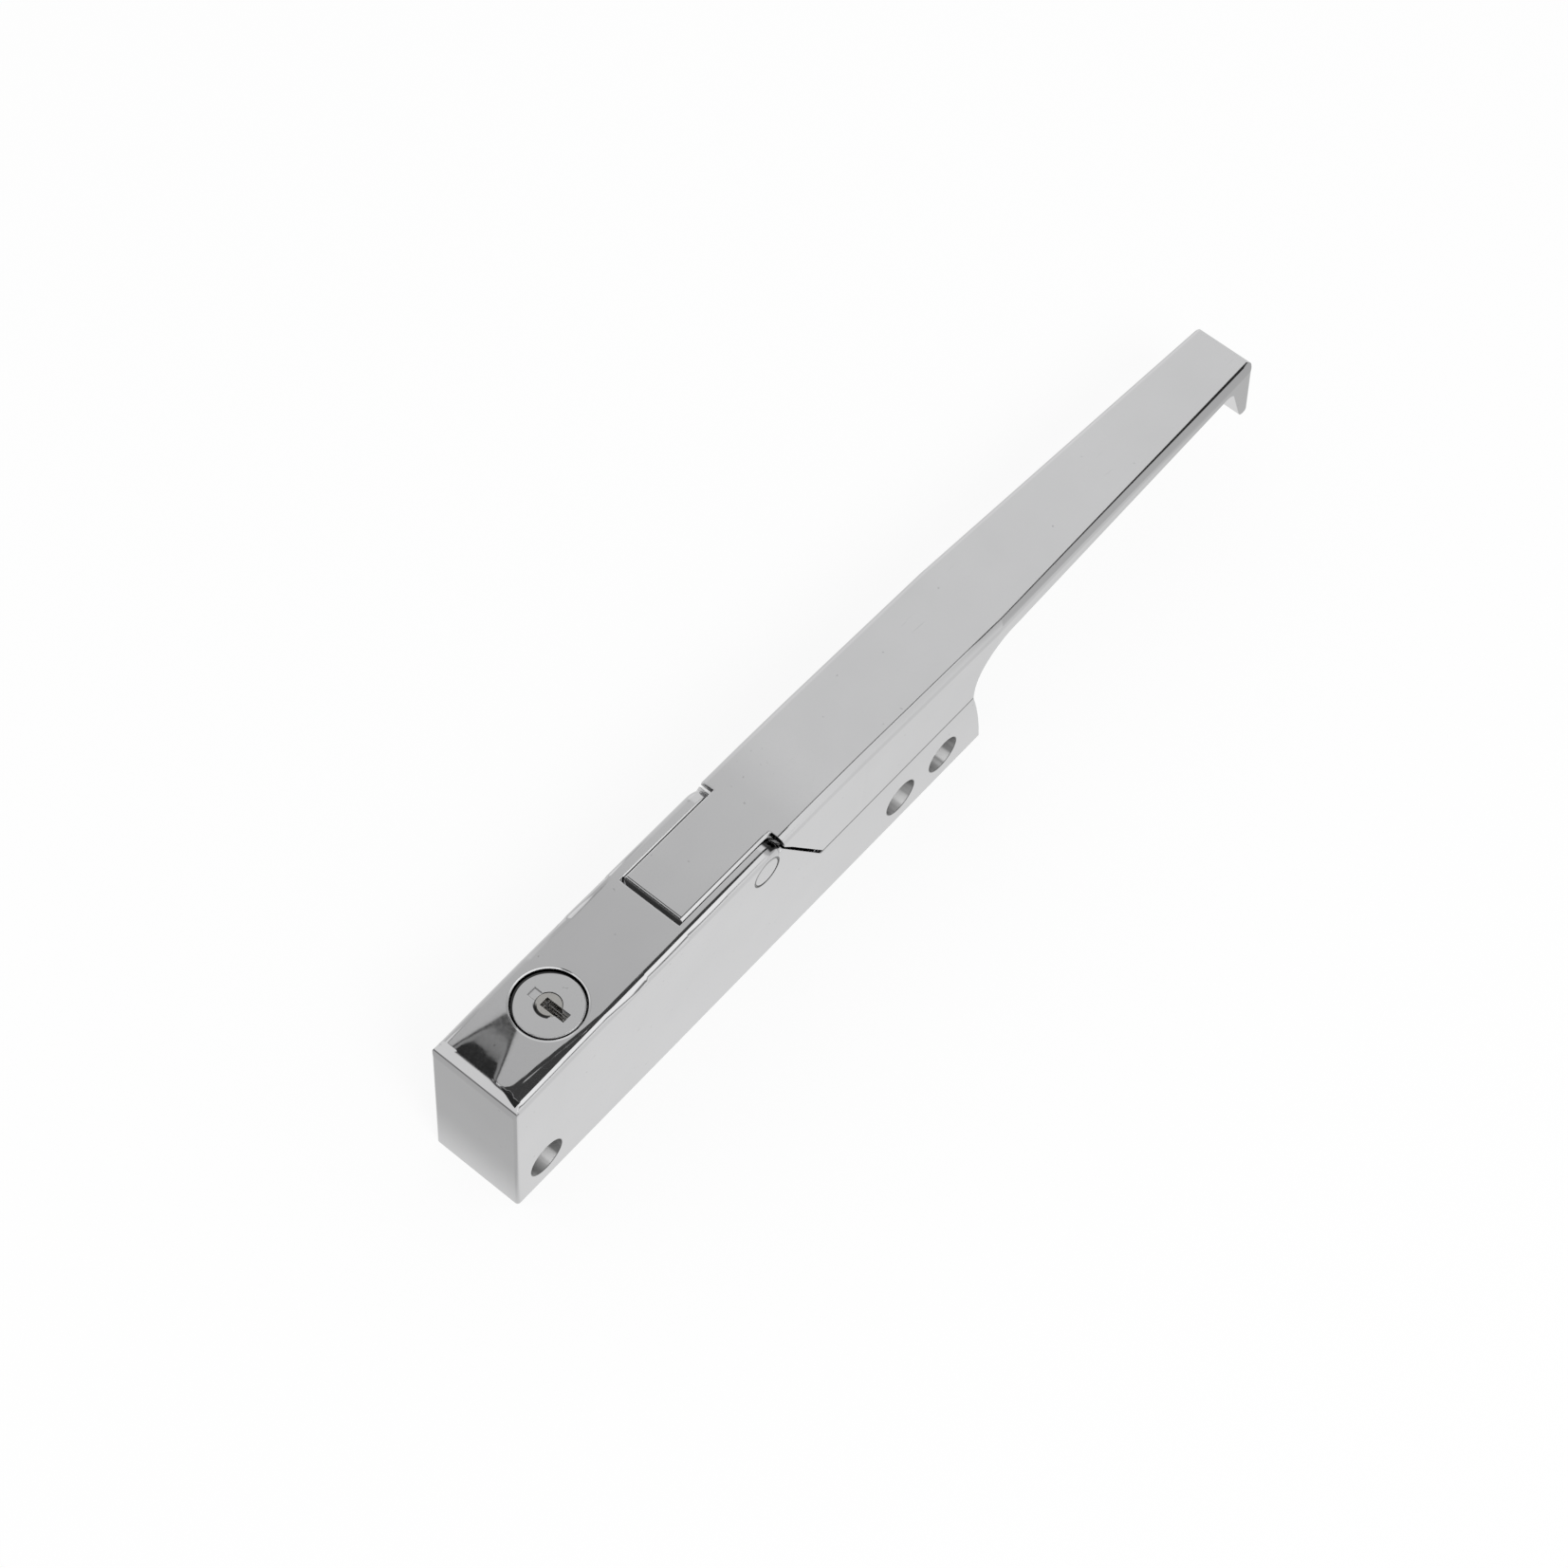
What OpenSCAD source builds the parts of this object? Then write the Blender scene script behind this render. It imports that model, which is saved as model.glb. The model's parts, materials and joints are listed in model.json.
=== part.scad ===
// Refrigerator door lock: a long pull handle on a narrow body, with a hidden latch
// hook under its pivot and a key lock in the near end. Millimetres, +Z up, away from
// the door. +X runs to the handle's tip and the door screws run along Y.
// Heights are from the foot, and lengths from the near end until the last shift.

/* [Overall] */
// Length over body and handle
overall_l = 270; // [230:1:330]
// Width of the body and the handle's shoulder
body_w = 24; // [20:0.5:30]
// Height from the foot to the flat of the top
body_h = 45; // [37.5:0.5:54]
// Length of the body along its foot
body_l = 162; // [150:0.5:194]

/* [Body] */
// Height of the parting line under the handle's shoulder
split_h = 22; // [18:0.5:26]
// Thickness of the side walls
cheek_t = 3.4; // [2.8:0.1:4.1]
// Thickness of the roof over the mechanism
roof_t = 4; // [3.2:0.1:4.8]
// Radius of the long top edges
edge_r = 2; // [0.8:0.1:2.4]
// Radius of the grip's long edges
grip_edge_r = 1.9; // [0.8:0.1:2.2]
// Radius of the near end's top edge
nose_r = 3; // [1:0.1:3.5]
// Radius of the near end's upright edges
corner_r = 0.8; // [0.5:0.1:3]
// Radius of the crown that falls towards the near end
crown_r = 1400; // [900:10:2400]
// Start of the slot for the handle's tail
slot_x = 56.2; // [52:0.1:61]
// Foot of the slanted cheek
slant_x = 101.4; // [97:0.1:109]

/* [Handle] */
// Handle pin, from the near end
pivot_x = 81.8; // [78:0.1:87]
// Radius of the handle pin
pin_r = 3.8; // [3:0.1:4.2]
// Radius of the rounded cheek ends about that pin
cheek_r = 6.2; // [5.8:0.1:7.4]
// Gap round the tail in its slot
tail_gap = 0.3; // [0.2:0.05:0.6]
// Gap at the tail's end, which swings through it
end_gap = 1.3; // [1.1:0.05:2]
// Angle that the handle pulls up
pull_a = 22; // [16:0.5:25]
// Half width of the grip at its tip
tip_hw = 8.6; // [7:0.1:10]
// Thickness of the grip behind the shoulder
root_t = 5.6; // [4.6:0.1:7]
// Thickness of the grip before the lip
grip_t = 3.8; // [3.4:0.1:6]
// Fall of the grip's top, in degrees
grip_fall = 2.6; // [1:0.01:4]
// Radius of the hollow behind the shoulder
under_r = 12; // [9:0.1:13]
// Depth of the lip below the grip's top at the tip
lip_d = 18.8; // [15.6:0.1:22]
// Outward lean of the lip's outer face, in degrees
lip_lean = 8; // [0:0.5:16]
// Outward lean of its inner face
lip_in = 23; // [12:0.5:28]
// Radius of the lip's round foot
lip_r = 2.45; // [2:0.05:3]
// Radius of the tip's corners
tip_r = 2.2; // [0.8:0.1:3]
// Wall of the hollow shoulder
shoulder_t = 2.8; // [2.2:0.1:3.4]

/* [Latch] */
// Latch hook's pin, from the near end
hook_x = 83.2; // [82:0.1:87]
// Latch hook's pin above the foot
hook_z = 15; // [14:0.1:16]
// Radius of the hook pin
hook_pin_r = 2.5; // [2:0.1:3]
// Length of the strike's mouth
mouth_l = 26.5; // [25:0.5:30]
// Width of the strike's mouth
mouth_w = 13.6; // [11:0.1:14]

/* [Lock] */
// Lock axis, from the near end
lock_x = 23.8; // [22:0.1:26]
// Radius of the lock housing
lock_r = 8.1; // [6.8:0.1:8.2]
// Gap between the housing and its bore
lock_gap = 0.45; // [0.2:0.05:0.6]
// Radius of the plug
plug_r = 6.1; // [5.1:0.1:6.2]
// Offset of the cam's pin from the lock axis
cam_off = 5; // [4.2:0.1:5.2]
// Radius of the cam's pin
cam_pin_r = 1.6; // [1.2:0.1:1.8]
// Width of the keyway
key_w = 2.5; // [2:0.1:3]

/* [Screws] */
// Height of the door screws
screw_z = 9.1; // [8.5:0.1:10]
// Radius of the door screw clearance
screw_r = 2.6; // [2.1:0.1:3.1]
// Radius of the head counterbore
head_r = 5; // [4.2:0.1:5.6]
// Depth of the head counterbore
head_d = 17; // [14:0.5:18]
// First door screw, from the near end
screw1_x = 9.4; // [9:0.1:10.5]
// Last door screw, from the far end
screw3_in = 14.9; // [14:0.1:17]
// Distance between the last two door screws
screw_step = 15.6; // [14:0.1:18]
// Radius of the small assembly screws
small_r = 1.25; // [1:0.05:1.4]

/* [Hidden] */
$fn = 64;
eps = 0.01;
touch = 0.1;          // gap of faces that slide on each other
run_fit = 0.05;       // radial gap of a running pin
part_gap = 0.15;      // parting line under the shoulder
slant_gap = 0.9;      // gap before the slanted cheek
smooth = 1440;        // segments of the long crown arcs

// Body
inner_w = body_w - 2 * cheek_t;
pivot_z = body_h - cheek_r;
crown_x = 69;
near_h = body_h - crown_r + sqrt(pow(crown_r, 2) - pow(crown_x, 2));
far_lean = 5.1;
far_r = 112;
shoulder_x = body_l - far_lean;
deck_t = 3;
deck_x = slant_x - 2.4;
cover_t = 2.2;
cover_rim = 1.5;
near_block_x = 17.5;
cavity_end = body_l - 41.5;
near_wall = 3.5;

// The slanted cheek leaves the foot as a tangent to the rounded cheek end
slant_dx = pivot_x - slant_x;
slant_dz = pivot_z - split_h;
slant_d = norm([slant_dx, slant_dz]);
slant_a = atan2(slant_dz, slant_dx) - asin(cheek_r / slant_d);
tangent_a = slant_a - 90;

// Lock, from the top down
lock_face = body_h - crown_r + sqrt(pow(crown_r, 2) - pow(crown_x - lock_x, 2)) - 0.15;
boss_z = body_h - 12;
flange_t = 2.5;
flange_z = boss_z - flange_t;
cam_r = cam_off + cam_pin_r + 0.2;
flange_x0 = lock_x - lock_r - 4.9;
flange_x1 = lock_x + max(lock_r + 5.2, cam_r + 6.5);
boss_x1 = flange_x1 + 0.2;
cam_t = 2.5;
cam_z = flange_z - 0.2 - cam_t;
slide_t = 2.9;
slide_z = cam_z - 0.3 - slide_t;
floor_t = 1.8;
floor_z = slide_z - touch - floor_t;
slot_play = 0.25;
key_turn = 90;
slide_travel = 2 * cam_off * sin(key_turn / 2);
cam_rest_x = lock_x - slide_travel / 2;
yoke_x0 = cam_rest_x - cam_pin_r - slot_play - 3.8;
yoke_x1 = cam_rest_x + cam_pin_r + slot_play + 2.4;
nose_x1 = boss_x1 - 0.9;
nose_l = 4.9;
post_x = flange_x1 - 2.6;
post_r = small_r + 0.85;
post_y = inner_w / 2 - 0.25 - post_r;
neck_hw = post_y - post_r - 0.45;
tab_x = flange_x0 + 2.3;
tab_y = inner_w / 2 - 2.4;
face_t = 1.3;
ring_r = 3.1;
plug_top = lock_face - face_t - touch;
neck_r = 4.3;
clip_z = flange_z + 0.4;
clip_t = 0.8;
key_lo = -5;
key_hi = 1.5;

// Handle
tail_w = inner_w - 2 * tail_gap;
tail_x = slot_x + end_gap;
tail_t = 3.6;
tail_r = cheek_r + 1;
shoulder_r = cheek_r + slant_gap;
notch_x = pivot_x + 5;
arc_x = 92;
arc_r = 700;
arc_steps = 2;
fall_x = arc_x + arc_r * sin(grip_fall);
fall_z = body_h - arc_r * (1 - cos(grip_fall));
taper_x = shoulder_x + 6.8;
under_x = shoulder_x + under_r;
under_z = fall_top(under_x) - root_t - under_r;
taper_a = atan((body_w / 2 - tip_hw) / (overall_l - taper_x));
lip_z = fall_top(overall_l) - lip_d;
lip_fillet = 4.5;
lip_cz = fall_top(overall_l - 14) - grip_t - lip_fillet;
toe_x = nose_x1 + 1.8;
toe_w = 12;
toe_z = flange_z + touch;
toe_under = toe_z + 1.1;
toe_top = body_h - 7;
ear_in = 4.4;
rise_x = pivot_x + 10.4;
bush_r = pin_r + 1;

// Latch hook: both turn alike, so the tail's nub keeps its distance from a round arm
nub_r = 3;
nub_in = 20.6;
nub_z = toe_under + nub_r - 1.4;
nub_gap = 0.2;
arm_cx = hook_x - nub_in;
arm_cz = hook_z + nub_z - pivot_z;
arm_r = norm([pivot_x - hook_x, pivot_z - hook_z]) - nub_r - nub_gap;
hook_w = 10;
hub_r = 5.6;
mouth_x = hook_x - 25;
hook_spring_z = 8.3;
hook_back_x = hook_x + 6.5;
seat_x = cavity_end - 9;

// Springs
wire_r = 0.55;
spring_r = 3.8;
spring_x = nose_x1 + slide_travel + spring_r + wire_r + 0.4;
stud_r = spring_r - wire_r - 0.25;
hook_coil_r = 3;

chrome = [0.80, 0.81, 0.82];
steel = [0.55, 0.56, 0.58];
brass = [0.80, 0.66, 0.36];
rubber = [0.12, 0.12, 0.12];
dark = [0.30, 0.31, 0.33];

// Height of the handle's top beyond its arc
function fall_top(x) = fall_z - (x - fall_x) * tan(grip_fall);

// Outer and inner face of the lip at height z, tangent to its round foot
function lip_face(z) = overall_l - lip_r + lip_r / cos(lip_lean) - (z - lip_z - lip_r) * tan(lip_lean);
function lip_back(z) = overall_l - lip_r - lip_r / cos(lip_in) - (z - lip_z - lip_r) * tan(lip_in);

// Half width of the grip
function grip_hw(x) = body_w / 2 - (x - taper_x) * tan(taper_a);

// Height of a wafer's middle
function wafer_z(i) = plug_top - 1.4 - 1.7 * i;

// Points of an arc in a side outline
function arc(cx, cz, r, a0, a1, n = 10) =
    [for (i = [0 : n]) [cx + r * cos(a0 + (a1 - a0) * i / n), cz + r * sin(a0 + (a1 - a0) * i / n)]];

// An XZ outline, extruded along Y
module side(w, y = 0) {
    translate([0, y, 0])
        rotate([90, 0, 0])
            linear_extrude(height = w, center = true)
                children();
}

// A box given by its two corners
module block(a, b) {
    translate(a)
        cube(b - a);
}

// A round bar along Y
module rod_y(r, x, z, y0, y1) {
    translate([x, y1, z])
        rotate([90, 0, 0])
            cylinder(r = r, h = y1 - y0);
}

// What a round edge takes off a corner at the origin, inside the +X +Y quarter
module round_off(r, over = 0.2) {
    difference() {
        translate([-over, -over])
            square(r + over);
        translate([r, r])
            circle(r);
    }
}

// A section with two round upper corners
module round_top(w, low, high, r) {
    translate([-w / 2, low])
        square([w, high - low - r]);
    translate([-w / 2 + r, low])
        square([w - 2 * r, high - low]);
    for (s = [-1, 1])
        translate([s * (w / 2 - r), high - r])
            circle(r);
}

// That section along X
module round_bar(x0, x1, w, low, high, r) {
    translate([x0, 0, 0])
        rotate([90, 0, 90])
            linear_extrude(height = x1 - x0)
                round_top(w, low, high, r);
}

// That section bent round a Y axis at [x, z], its top on radius r_top
module round_bend(x, z, r_top, depth, w, r, a0, a1, n) {
    translate([x, 0, z])
        rotate([90, 0, 0])
            rotate([0, 0, a0])
                rotate_extrude(angle = a1 - a0, $fn = n)
                    intersection() {
                        rotate(-90)
                            round_top(w, 0, r_top, r);
                        translate([r_top - depth, -w])
                            square([depth + 1, 2 * w]);
                    }
}

// A coil spring standing on its foot: one wire, closed and flat at both ends
module coil(h, r, w, turns) {
    rings = 14;
    sides = 6;
    last = rings * (turns + 2);
    rise = h - 4 * w;
    path = [for (i = [0 : last])
        let (t = i / rings, a = 360 * t)
        [r * cos(a), r * sin(a),
            w + (t < 1 ? 2.2 * w * t / 2 : t > turns + 1 ? rise + 2 * w - 2.2 * w * (turns + 2 - t) / 2
                : 1.1 * w + (rise - 0.2 * w) * (t - 1) / turns)]];
    points = [for (i = [0 : last], k = [0 : sides - 1])
        let (a = 360 * i / rings, b = 360 * k / sides)
        path[i] + [w * cos(b) * cos(a), w * cos(b) * sin(a), w * sin(b)]];
    skin = [for (i = [0 : last - 1], k = [0 : sides - 1], half = [0, 1])
        let (p = i * sides + k, q = i * sides + (k + 1) % sides)
        half == 0 ? [p, p + sides, q + sides] : [p, q + sides, q]];
    caps = [
        for (k = [1 : sides - 2]) [0, k, k + 1],
        for (k = [1 : sides - 2]) [last * sides, last * sides + k + 1, last * sides + k]
    ];
    polyhedron(points = points, faces = concat(skin, caps), convexity = 10);
}

// Body: crowned near half, flat middle, round cheek ends and low far half
module body_form() {
    intersection() {
        round_bend(crown_x, body_h - crown_r, crown_r, body_h + 20, body_w, edge_r, 90, 94, smooth);
        block([0, -body_w, 0], [crown_x, body_w, body_h + 5]);
    }
    round_bar(crown_x, pivot_x, body_w, 0, body_h, edge_r);
    round_bend(pivot_x, pivot_z, cheek_r, cheek_r, body_w, edge_r, 0, 360, 64);
    intersection() {
        side(body_w)
            polygon([
                [pivot_x, 0],
                [body_l, 0],
                [body_l, split_h],
                [slant_x, split_h],
                [pivot_x + cheek_r * cos(tangent_a), pivot_z + cheek_r * sin(tangent_a)],
                [pivot_x, pivot_z]
            ]);
        far_face();
    }
}

// The far end is part of a large cylinder that leans back over the foot
module far_face() {
    chord = norm([far_lean, split_h]);
    reach = sqrt(pow(far_r, 2) - pow(chord / 2, 2));
    translate([body_l - far_lean / 2 - reach * split_h / chord, 0, split_h / 2 - reach * far_lean / chord])
        rotate([90, 0, 0])
            cylinder(r = far_r, h = body_w + 10, center = true, $fn = 360);
}

// Rounded edges of the near end
module near_edges() {
    side(body_w + 2)
        translate([0, near_h])
            mirror([0, 1])
                round_off(nose_r);
    for (s = [0, 1])
        mirror([0, s, 0])
            translate([0, -body_w / 2, -1])
                linear_extrude(height = body_h + 5)
                    round_off(corner_r);
}

// One door screw hole, its head counterbored from the front
module door_hole(x) {
    rod_y(screw_r, x, screw_z, -body_w, body_w);
    rod_y(head_r, x, screw_z, -body_w, head_d - body_w / 2);
}

// The hollow for the mechanism
module body_hollow() {
    hw = inner_w / 2;
    block([near_block_x, -hw, -1], [cavity_end, hw, split_h - deck_t]);
    block([near_block_x, -hw, 5], [deck_x, hw, boss_z]);
    block([near_wall, -hw, floor_z], [deck_x, hw, boss_z]);
    block([boss_x1, -hw, boss_z - 1], [slot_x, hw, body_h - roof_t]);
    block([slot_x, -hw, 5], [deck_x, hw, body_h + 5]);
    block([near_block_x + 1.5, -hw - cover_rim, -1], [cavity_end - 1.5, hw + cover_rim, cover_t]);
}

// Screw bosses of the cover, inside the hollow
module cover_bosses() {
    hw = inner_w / 2;
    block([near_block_x - 1, -hw - 0.5, cover_t], [near_block_x + 9, hw + 0.5, 13]);
    difference() {
        block([seat_x, -hw - 0.5, cover_t], [cavity_end + 1, hw + 0.5, 13]);
        translate([seat_x - 1, 0, hook_spring_z])
            rotate([0, 90, 0])
                cylinder(r = hook_coil_r + wire_r + 0.3, h = 4);
    }
}

// Places of the cover screws
module at_cover_screws() {
    for (x = [near_block_x + 5, cavity_end - 5], y = [-5.2, 5.2])
        translate([x, y, 0])
            children();
}

module latch_body() {
    color(chrome)
        difference() {
            union() {
                difference() {
                    body_form();
                    near_edges();
                    body_hollow();
                }
                cover_bosses();
            }
            translate([lock_x, 0, boss_z - 2])
                cylinder(r = lock_r + lock_gap, h = body_h, $fn = 96);
            for (x = [screw1_x, body_l - screw3_in - screw_step, body_l - screw3_in])
                door_hole(x);
            rod_y(pin_r, pivot_x, pivot_z, -body_w, body_w);
            rod_y(hook_pin_r, hook_x, hook_z, 1.6 - body_w / 2, body_w);
            at_cover_screws()
                translate([0, 0, -1])
                    cylinder(r = small_r, h = 12);
            for (y = [-post_y, post_y])
                translate([post_x, y, boss_z - 1])
                    cylinder(r = small_r, h = 6);
            for (y = [-tab_y, tab_y])
                translate([tab_x, y, boss_z - 1])
                    cylinder(r = small_r, h = 6);
            at_buffers()
                translate([0, 0, split_h - 1.6])
                    cylinder(r = 3, h = 5);
        }
}

module bottom_cover() {
    hw = inner_w / 2 + cover_rim - touch;
    x0 = near_block_x + 1.5 + touch;
    x1 = cavity_end - 1.5 - touch;
    color(steel)
        difference() {
            union() {
                block([x0, -hw, 0], [x1, hw, cover_t]);
                translate([spring_x, 0, 0])
                    cylinder(r = stud_r, h = cover_t + 2);
            }
            block([mouth_x, -mouth_w / 2, -1], [mouth_x + mouth_l, mouth_w / 2, cover_t + 1]);
            at_cover_screws() {
                translate([0, 0, -1])
                    cylinder(r = small_r + 0.2, h = 6);
                translate([0, 0, -eps])
                    cylinder(r1 = 2 * small_r + 0.1, r2 = small_r + 0.1, h = small_r + 0.1);
            }
        }
}

module cover_screws() {
    color(steel)
        at_cover_screws()
            difference() {
                union() {
                    cylinder(r1 = 2 * small_r, r2 = small_r, h = small_r);
                    cylinder(r = small_r, h = 10);
                }
                cross_slot(0, 1.6 * small_r, 0.7);
            }
}

// A cross recess that opens downwards at height z
module cross_slot(z, l, d) {
    for (a = [0, 90])
        rotate([0, 0, a])
            translate([-l / 2, -0.3, z - eps])
                cube([l, 0.6, d]);
}

// Pad places on the deck, under the shoulder's feet
module at_buffers() {
    translate([shoulder_x - 13.4, 0, 0])
        children();
    translate([slant_x + 7, 0, 0])
        children();
}

module handle_buffers() {
    color(rubber)
        at_buffers()
            translate([0, 0, split_h - 1.6])
                cylinder(r = 3, h = 2.6);
}

// Outer form of the shoulder and grip: its side outline, crown and plan
module handle_form() {
    slant_low = slant_x + slant_gap / cos(tangent_a) + (split_h + part_gap - split_h) / tan(slant_a);
    intersection() {
        side(body_w)
            difference() {
                polygon(concat(
                    [
                        [notch_x, body_h + 2],
                        [lip_face(body_h + 2), body_h + 2]
                    ],
                    arc(overall_l - lip_r, lip_z + lip_r, lip_r, lip_lean, -180 + lip_in, 16),
                    arc(lip_back(lip_cz) - lip_fillet / cos(lip_in), lip_cz, lip_fillet, lip_in, 90, 8),
                    [
                        [under_x, under_z + under_r],
                        [under_x, under_z],
                        [under_x - 2, split_h + part_gap],
                        [slant_low, split_h + part_gap],
                        [slant_low + (pivot_z - split_h) / tan(slant_a), pivot_z],
                        [notch_x, pivot_z + 4.5]
                    ]
                ));
                translate([under_x, under_z])
                    circle(under_r, $fn = 128);
                translate([shoulder_x, 0])
                    square([under_r + 1, under_z]);
                polygon([
                    [pivot_x, pivot_z - 5],
                    [pivot_x + shoulder_r * cos(tangent_a), pivot_z + shoulder_r * sin(tangent_a)],
                    [notch_x - 1, body_h + 5],
                    [pivot_x - 5, body_h + 5]
                ]);
            }
        // flat, falling and tangent bars between them, each tangent to one long arc
        intersection_for (i = [0 : arc_steps]) {
            a = grip_fall * i / arc_steps;
            translate([arc_x + arc_r * sin(a), 0, body_h - arc_r * (1 - cos(a))])
                rotate([0, a, 0])
                    round_bar(-overall_l, overall_l, body_w, -2 * body_h, 0, edge_r);
        }
        translate([0, 0, -1])
            linear_extrude(height = body_h + 5)
                polygon([
                    [notch_x - 5, -body_w],
                    [taper_x, -body_w],
                    [taper_x, -body_w / 2],
                    [overall_l, -tip_hw],
                    [overall_l, tip_hw],
                    [taper_x, body_w / 2],
                    [taper_x, body_w],
                    [notch_x - 5, body_w]
                ]);
    }
}

// Rounded long edges of the tapering grip, and of its tip
module grip_edges() {
    tip_x = lip_face(fall_top(overall_l));
    for (s = [0, 1])
        mirror([0, s, 0]) {
            translate([taper_x, body_w / 2, fall_top(taper_x)])
                rotate([0, grip_fall, -taper_a])
                    rotate([90, 0, 90])
                        linear_extrude(height = overall_l)
                            rotate(180)
                                round_off(grip_edge_r);
            translate([lip_face(lip_z + lip_r), tip_hw, lip_z + lip_r])
                rotate([0, -lip_lean, -taper_a])
                    translate([0, 0, -10])
                        linear_extrude(height = body_h)
                            rotate(180)
                                round_off(tip_r, 3);
        }
    side(body_w)
        translate([tip_x, fall_top(tip_x)])
            rotate(180)
                round_off(1);
}

// Tail between the cheeks, with the toe that the key lock blocks
module handle_tail() {
    zt = body_h - tail_t;
    intersection() {
        union() {
            side(tail_w)
                polygon([
                    [tail_x, body_h],
                    [tail_x, body_h - roof_t - 0.5],
                    [tail_x - 2.6, toe_top],
                    [tail_x - 2.6, toe_under],
                    [pivot_x, pivot_z - tail_r],
                    [rise_x, pivot_z - 2.5],
                    [rise_x, body_h]
                ]);
            rod_y(tail_r, pivot_x, pivot_z, -tail_w / 2, tail_w / 2);
        }
        round_bar(tail_x - 5, rise_x + 1, tail_w, 0, body_h, 0.6);
    }
    side(toe_w)
        polygon([
            [toe_x, toe_z],
            [toe_x + 4.2, toe_z],
            [toe_x + 5.2, toe_under],
            [tail_x, toe_under],
            [tail_x, toe_top],
            [toe_x + 1.5, toe_top],
            [toe_x, toe_top - 1.5]
        ]);
    rod_y(nub_r, pivot_x - nub_in, nub_z, -hook_w / 2, hook_w / 2);
    translate([spring_x, 0, toe_under - 1.2])
        cylinder(r = stud_r, h = 3);
}

module handle() {
    roof_in = body_h - 4.6;
    channel = 2.2;
    ch_x0 = under_x + 8;
    ch_x1 = overall_l - 14;
    color(chrome)
        difference() {
            union() {
                difference() {
                    handle_form();
                    grip_edges();
                    // hollow of the shoulder
                    block([rise_x + 2.5, -body_w / 2 + shoulder_t, 0],
                        [shoulder_x - 3.4, body_w / 2 - shoulder_t, roof_in]);
                    // channel under the grip
                    intersection() {
                        side(body_w)
                            polygon([
                                [ch_x0, 0],
                                [ch_x1, 0],
                                [ch_x1, fall_top(ch_x1) - 2.6],
                                [ch_x0, fall_top(ch_x0) - 2.6]
                            ]);
                        linear_extrude(height = body_h)
                            polygon([
                                [ch_x0, channel - grip_hw(ch_x0)],
                                [ch_x1, channel - grip_hw(ch_x1)],
                                [ch_x1, grip_hw(ch_x1) - channel],
                                [ch_x0, grip_hw(ch_x0) - channel]
                            ]);
                    }
                }
                handle_tail();
                // cross wall that ties the tail to the skirts, and two feet
                block([rise_x - 1.4, -tail_w / 2 - 1.4, pivot_z + 0.6], [rise_x + 2.6, tail_w / 2 + 1.4, body_h - 2.6]);
                for (x = [slant_x + 7, shoulder_x - 13.4])
                    block([x - 1.2, -body_w / 2 + 1.5, split_h + 1], [x + 1.2, body_w / 2 - 1.5, roof_in + 1]);
                block([slant_x + 27, -body_w / 2 + 1.5, split_h + 9], [slant_x + 29, body_w / 2 - 1.5, roof_in + 1]);
            }
            // room for the bushes and between the two ears
            rod_y(bush_r, pivot_x, pivot_z, -body_w, body_w);
            block([pivot_x - 9, -ear_in, 0], [rise_x - 1.6, ear_in, body_h - tail_t]);
        }
}

module handle_pin() {
    color(chrome)
        difference() {
            rod_y(pin_r, pivot_x, pivot_z, -body_w / 2, body_w / 2);
            for (s = [0, 1])
                mirror([0, s, 0])
                    translate([pivot_x, -body_w / 2, pivot_z])
                        rotate([-90, 0, 0])
                            rotate_extrude()
                                translate([pin_r, 0])
                                    mirror([1, 0])
                                        round_off(0.35);
        }
}

module handle_bushes() {
    color(brass)
        for (s = [0, 1])
            mirror([0, s, 0])
                difference() {
                    rod_y(bush_r, pivot_x, pivot_z, ear_in, tail_w / 2);
                    rod_y(pin_r + run_fit, pivot_x, pivot_z, 0, body_w);
                }
}

module handle_spring() {
    color(steel)
        translate([spring_x, 0, cover_t])
            coil(toe_under - cover_t, spring_r, wire_r, 7);
}

// Side outline of the hook without its round arm
module hook_outline() {
    polygon([
        [hook_x - 14.5, 8.4],
        [hook_x - 14.2, 6.6],
        [hook_x - 7.5, 3],
        [hook_x + 1.5, 3],
        [hook_back_x, 7],
        [hook_back_x, arm_cz + arm_r - 8],
        [hook_x + 3.2, arm_cz + arm_r - 3.6],
        [hook_x - 14, arm_cz + arm_r - 5],
        [hook_x - 22, arm_cz + arm_r - 7],
        [hook_x - 16, arm_cz + arm_r - 9.5],
        [hook_x - 6.2, arm_cz + arm_r - 12],
        [hook_x - 6.2, 8.4]
    ]);
}

module latch_hook() {
    color(steel)
        difference() {
            union() {
                side(hook_w)
                    hook_outline();
                intersection() {
                    rod_y(arm_r, arm_cx, arm_cz, -hook_w / 2, hook_w / 2);
                    block([arm_cx - 2.1, -hook_w, arm_cz + arm_r - 7], [arm_cx + 12.5, hook_w, body_h]);
                }
                rod_y(hub_r, hook_x, hook_z, 1 - inner_w / 2, inner_w / 2 - 1);
            }
            rod_y(hook_pin_r + run_fit, hook_x, hook_z, -body_w, body_w);
            translate([hook_back_x - 1.4, 0, hook_spring_z])
                rotate([0, 90, 0])
                    cylinder(r = hook_coil_r + wire_r + 0.2, h = 5);
        }
}

module hook_pin() {
    color(steel)
        rod_y(hook_pin_r, hook_x, hook_z, 1.6 - body_w / 2, body_w / 2);
}

module hook_spacers() {
    color(brass)
        for (s = [0, 1])
            mirror([0, s, 0])
                difference() {
                    rod_y(hub_r - 0.6, hook_x, hook_z, inner_w / 2 - 1 + touch, inner_w / 2);
                    rod_y(hook_pin_r, hook_x, hook_z, 0, body_w);
                }
}

module hook_spring() {
    x0 = hook_back_x - 1.4;
    color(steel)
        translate([x0, 0, hook_spring_z])
            rotate([0, 90, 0])
                coil(seat_x + 3 - x0, hook_coil_r, 0.45, 8);
}

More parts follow.
